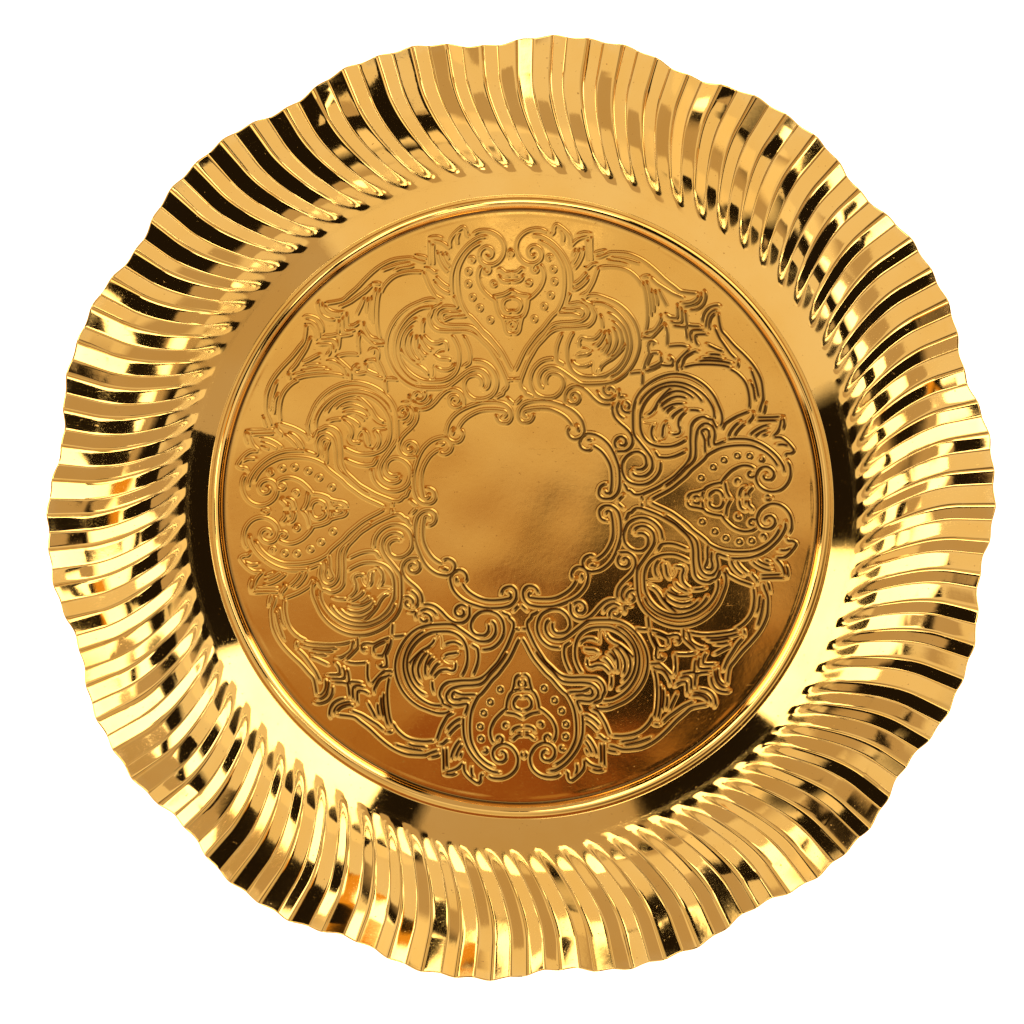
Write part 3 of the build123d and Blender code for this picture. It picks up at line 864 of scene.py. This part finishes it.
def brass(name, bright, dull, roughness, peel):
    """Lacquered brass with smudges, turning marks, fine peel, worn ridges, and painted shade with some
    grime in its grooves and corners.
    """
    material = bpy.data.materials.new(name)
    material.use_nodes = True
    graph = Graph(material.node_tree)
    shader = graph.nodes["Principled BSDF"]
    place = graph.node("ShaderNodeTexCoord").outputs["Object"]
    split = graph.node("ShaderNodeSeparateXYZ")
    graph.feed(split.inputs[0], place)
    across, outward, height = split.outputs
    across_squared = graph.math("MULTIPLY", across, across)
    outward_squared = graph.math("MULTIPLY", outward, outward)
    radius = graph.math("SQRT", graph.math("ADD", across_squared, outward_squared))
    bearing = graph.math("ARCTAN2", outward, across)

    # Fine turning marks follow the circle; hairline scratches all run one way.
    circular = graph.vector(graph.math("MULTIPLY", bearing, TURNING_STRETCH), radius, height)
    marks = graph.noise(circular, TURNING_SCALE, detail=2.0)
    streaked = graph.vector(graph.math("MULTIPLY", across, SCRATCH_STRETCH), outward, height)
    scratches = graph.blend(graph.noise(streaked, SCRATCH_SCALE), *SCRATCH_STEPS)
    smudges = graph.noise(place, SMUDGE_SCALE, detail=5.0)
    specks = graph.blend(graph.noise(place, SPECK_SCALE, detail=1.0), *SPECK_STEPS)

    # The wear attribute is above zero where use has rubbed the metal, and below zero where dark shade
    # is painted in: in the grooves and in the corner at the foot of the step.
    wear_and_shade = graph.node("ShaderNodeAttribute", attribute_name="wear_and_shade").outputs["Fac"]
    rubbed = graph.blend(graph.noise(place, WORN_SCALE), *WORN_STEPS)
    worn = graph.math("MULTIPLY", graph.math("MAXIMUM", wear_and_shade, 0.0), rubbed)
    painted_shade = graph.math("MAXIMUM", graph.math("MULTIPLY", wear_and_shade, -1.0), 0.0)

    tone = graph.mix(graph.blend(smudges, *SMUDGE_TONE_STEPS), bright, dull)
    # Painted shade: the grooves and the step's corner are darkened, standing in for the dark they
    # reflect.
    tone = graph.mix(painted_shade, tone, SHADE_AND_GRIME)
    tone = graph.mix(graph.math("MULTIPLY", specks, SPECK_TONE), tone, TARNISH)
    tone = graph.mix(graph.math("MULTIPLY", worn, WORN_TONE), tone, WORN)
    graph.feed(shader.inputs["Base Color"], tone)
    shader.inputs["Metallic"].default_value = 1

    smudged = graph.blend(smudges, *SMUDGE_ROUGH_STEPS)
    turned = graph.blend(marks, *TURNING_STEPS)
    haze = graph.node("ShaderNodeAttribute", attribute_name="haze").outputs["Fac"]
    rough = graph.math("MULTIPLY_ADD", smudged, SMUDGE_ROUGHNESS, roughness)
    rough = graph.math("MULTIPLY_ADD", turned, TURNING_ROUGHNESS, rough)
    rough = graph.math("MULTIPLY_ADD", scratches, SCRATCH_ROUGHNESS, rough)
    rough = graph.math("MULTIPLY_ADD", specks, SPECK_ROUGHNESS, rough)
    rough = graph.math("MULTIPLY_ADD", worn, WORN_ROUGHNESS, rough)
    rough = graph.math("MULTIPLY_ADD", haze, HAZE_ROUGHNESS, rough)
    graph.feed(shader.inputs["Roughness"], rough)

    relief = graph.math("MULTIPLY", marks, TURNING_RELIEF * peel)
    relief = graph.math("MULTIPLY_ADD", graph.noise(place, PEEL_SCALE, detail=2.0), peel, relief)
    relief = graph.math("MULTIPLY_ADD", scratches, SCRATCH_RELIEF * peel, relief)
    bump = graph.node("ShaderNodeBump")
    bump.inputs["Strength"].default_value = 1.0
    bump.inputs["Distance"].default_value = MM
    graph.feed(bump.inputs["Height"], relief)
    graph.feed(shader.inputs["Normal"], bump.outputs[0])
    return material


polished = brass(
    "polished_brass",
    bright=(0.95, 0.56, 0.15),
    dull=(0.92, 0.51, 0.115),
    roughness=0.035,
    peel=0.004,
)
satin = brass(
    "well_brass",
    bright=(0.93, 0.53, 0.13),
    dull=(0.88, 0.47, 0.10),
    roughness=0.05,
    peel=0.003,
)
for ring in rings:
    ring.data.materials.append(polished)
well.data.materials.append(satin)

# ------------------------------------------------------------------------------------------
# Stage: pale floor
# ------------------------------------------------------------------------------------------
STAGE_SIZE = 12
STAGE_DROP = 0.5
STAGE_WHITE = (0.93, 0.93, 0.93, 1)
STAGE_ROUGHNESS = 0.9
STAGE_GLOW = 1.0

bpy.ops.mesh.primitive_plane_add(size=STAGE_SIZE, location=(0, 0, -STAGE_DROP * MM))
floor = bpy.context.object
floor.name = "stage_floor"
floor_material = bpy.data.materials.new("stage_white")
floor_material.use_nodes = True
shader = floor_material.node_tree.nodes["Principled BSDF"]
shader.inputs["Base Color"].default_value = STAGE_WHITE
shader.inputs["Roughness"].default_value = STAGE_ROUGHNESS
shader.inputs["Emission Color"].default_value = (1, 1, 1, 1)
shader.inputs["Emission Strength"].default_value = STAGE_GLOW
floor.data.materials.append(floor_material)

# The camera leans a little from overhead, and the tray's edge fills most of its frame. The
# studio below is built round the same lean.
VIEW_DISTANCE = 1.6
VIEW_LEAN = math.radians(2.5)
VIEW_BEARING = math.radians(111.0)
SENSOR_WIDTH = 36.0
EDGE_SHARE = 0.4598
SHIFT_RIGHT = 0.0096
SHIFT_UP = 0.0023

# ------------------------------------------------------------------------------------------
# Studio round the tray: what the brass reflects, by compass bearing and by height
# ------------------------------------------------------------------------------------------
DARK = (0.014, 0.011, 0.009)
LAMP = (4.4, 4.4, 4.2)
WALL = (0.94, 0.90, 0.86)
SHADE = (0.56, 0.48, 0.42)
CREAM = (1.1, 1.05, 0.98)
AMBER = (0.90, 0.45, 0.06)
HALO = (0.68, 0.62, 0.52)
GLOOM = (0.16, 0.12, 0.08)
GLOW = (1.9, 1.8, 1.5)
BACKDROP = (1.6, 1.6, 1.6)

# Each band runs from one bearing to another, in degrees. Low down, as the cove sees it.
LOW_BANDS = (
    (345, 383, DARK), (385, 421, LAMP), (422, 430, DARK), (432, 470, SHADE),
    (472, 500, DARK), (501, 533, LAMP), (535, 561, DARK), (564, 665, WALL),
    (667, 704, SHADE),
)
# A little higher, as the feet of the wide facets see it.
SKIRT_BANDS = (
    (168, 242, WALL), (247, 290, SHADE), (294, 330, DARK), (334, 383, CREAM), (386, 418, WALL),
    (421, 463, SHADE), (466, 496, LAMP), (499, 525, DARK),
)
# As the feet of the narrow facets see it.
FOOT_BANDS = (
    (-32, 68, WALL), (72, 96, SHADE), (100, 121, LAMP), (123, 127, DARK), (130, 158, LAMP),
    (162, 166, DARK), (174, 214, SHADE), (217, 232, CREAM), (236, 260, DARK), (262, 276, SHADE),
    (279, 285, LAMP), (287, 290, SHADE), (293, 322, DARK),
)
# Half way up, as the narrow facets see it.
MIDDLE_BANDS = (
    (216, 236, DARK), (240, 288, DARK), (290, 294, AMBER), (297, 304, LAMP), (306, 308, DARK),
    (310, 317, LAMP), (319, 326, DARK), (328, 422, WALL), (430, 445, SHADE), (447, 451, DARK),
    (454, 473, LAMP), (477, 508, SHADE), (514, 530, CREAM), (534, 572, SHADE),
)
# High up, as the wide facets see it.
HIGH_BANDS = (
    (199, 250, DARK), (252, 276, LAMP), (278, 283, DARK), (285, 297, LAMP), (300, 318, SHADE),
    (321, 338, DARK), (341, 346, AMBER), (349, 355, LAMP), (358, 364, DARK), (367, 372, LAMP),
    (375, 393, DARK), (396, 399, LAMP), (402, 409, SHADE), (411, 414, DARK), (417, 424, SHADE),
    (429, 556, WALL),
)
# Nearly overhead: even and warm, but for a dark side and a lamp that the engraving picks up.
HALO_BANDS = (
    (60, 90, HALO), (110, 165, GLOOM), (185, 205, HALO), (225, 245, GLOW), (260, 400, HALO),
)
# Lift, the cosine of the angle from straight above, at which each layer takes over.
SKIRT_FROM = (0.41, 0.42)
FOOT_FROM = (0.54, 0.56)
MIDDLE_FROM = (0.635, 0.65)
HIGH_FROM = (0.722, 0.730)
HALO_FROM = (0.85, 0.90)
TOP_FROM = (0.975, 0.99)
# The high bands wind round a little on their way down, as the pleats lean.
WIND_START = 0.795
WIND_RATE = 0.69

# Straight above, which the flat well reflects: pale, but warm beyond a soft border, with
# patches given by centre, half width, softness and colour. Places are slopes from the vertical.
TOP_PALE = (0.82, 0.74, 0.60)
TOP_WARM = (0.44, 0.24, 0.09)
WARM_SLOPES = (0.0, -0.09)
PATCHES = (
    ((0.016, -0.092), (0.026, 0.012), 0.5, (0.30, 0.10, 0.03)),
    ((0.022, -0.056), (0.009, 0.006), 0.6, (0.26, 0.09, 0.02)),
    ((0.045, -0.066), (0.024, 0.030), 0.2, DARK),
    ((0.016, 0.017), (0.010, 0.003), 0.5, (1.8, 1.7, 1.4)),
)


def band_stops(bands):
    """Colour stops over one full turn that starts at the first band."""
    start = bands[0][0]
    stops = []
    for first, last, color in bands:
        stops.append(((first - start) / 360, color))
        stops.append(((last - start) / 360, color))
    return stops


world = bpy.data.worlds.new("studio")
bpy.context.scene.world = world
world.use_nodes = True
sky = Graph(world.node_tree)
sky.nodes.clear()
split = sky.node("ShaderNodeSeparateXYZ")
sky.feed(split.inputs[0], sky.node("ShaderNodeTexCoord").outputs["Generated"])
# Bearing and lift are taken round the line that a level mirror sends back from the camera.
mirrored = VIEW_BEARING + math.pi
mirror_east = math.tan(VIEW_LEAN) * math.cos(mirrored)
mirror_north = math.tan(VIEW_LEAN) * math.sin(mirrored)
plain_east, plain_north, plain_lift = split.outputs
east = sky.math("MULTIPLY_ADD", plain_lift, -mirror_east, plain_east)
north = sky.math("MULTIPLY_ADD", plain_lift, -mirror_north, plain_north)
lift = sky.math("MULTIPLY_ADD", plain_east, mirror_east, plain_lift)
lift = sky.math("MULTIPLY_ADD", plain_north, mirror_north, lift)
bearing = sky.math("DIVIDE", sky.math("ARCTAN2", north, east), 2 * math.pi)


def band_color(bands, bearing):
    """The bands' colour at a bearing, given in turns."""
    turn = sky.math("FRACT", sky.math("ADD", bearing, 2 - bands[0][0] / 360))
    return sky.ramp(turn, band_stops(bands))


def patch_mask(centre, half_width, soft):
    """An oval patch straight above: 1 inside, 0 outside."""
    east_part = sky.math("DIVIDE", sky.math("SUBTRACT", east_slope, centre[0]), half_width[0])
    north_part = sky.math("DIVIDE", sky.math("SUBTRACT", north_slope, centre[1]), half_width[1])
    east_squared = sky.math("MULTIPLY", east_part, east_part)
    north_squared = sky.math("MULTIPLY", north_part, north_part)
    reach = sky.math("SQRT", sky.math("ADD", east_squared, north_squared))
    return sky.blend(reach, 1 + soft, 1 - soft)


east_slope = sky.math("DIVIDE", plain_east, plain_lift)
north_slope = sky.math("DIVIDE", plain_north, plain_lift)
top_color = sky.mix(sky.blend(north_slope, *WARM_SLOPES), TOP_PALE, TOP_WARM)
for centre, half_width, soft, patch_color in PATCHES:
    top_color = sky.mix(patch_mask(centre, half_width, soft), top_color, patch_color)

wind = sky.math("MAXIMUM", sky.math("SUBTRACT", WIND_START, lift), 0.0)
wind = sky.math("MULTIPLY", wind, WIND_RATE)
layers = (
    (SKIRT_FROM, band_color(SKIRT_BANDS, bearing)),
    (FOOT_FROM, band_color(FOOT_BANDS, bearing)),
    (MIDDLE_FROM, band_color(MIDDLE_BANDS, bearing)),
    (HIGH_FROM, band_color(HIGH_BANDS, sky.math("SUBTRACT", bearing, wind))),
    (HALO_FROM, band_color(HALO_BANDS, bearing)),
    (TOP_FROM, top_color),
)
color = band_color(LOW_BANDS, bearing)
for (low_lift, high_lift), layer_color in layers:
    color = sky.mix(sky.blend(lift, low_lift, high_lift), color, layer_color)
camera_ray = sky.node("ShaderNodeLightPath").outputs["Is Camera Ray"]
background = sky.node("ShaderNodeBackground")
sky.feed(background.inputs["Color"], sky.mix(camera_ray, color, BACKDROP))
output = sky.node("ShaderNodeOutputWorld")
sky.feed(output.inputs["Surface"], background.outputs[0])

# ------------------------------------------------------------------------------------------
# Camera: nearly overhead
# ------------------------------------------------------------------------------------------
level = math.sin(VIEW_LEAN)
back = Vector((level * math.cos(VIEW_BEARING), level * math.sin(VIEW_BEARING), math.cos(VIEW_LEAN)))
right = Vector((0, 1, 0)).cross(back).normalized()
camera = bpy.data.objects.new("camera", bpy.data.cameras.new("camera"))
bpy.context.scene.collection.objects.link(camera)
camera.matrix_world = Matrix((right, back.cross(right), back)).transposed().to_4x4()
camera.location = Vector((0, 0, cad_high.z)) + back * VIEW_DISTANCE
camera.data.sensor_width = SENSOR_WIDTH
camera.data.lens = SENSOR_WIDTH * VIEW_DISTANCE * EDGE_SHARE / (EDGE_RADIUS * MM)
camera.data.shift_x = -SHIFT_RIGHT
camera.data.shift_y = -SHIFT_UP
bpy.context.scene.camera = camera
bpy.context.scene.view_settings.view_transform = "Standard"
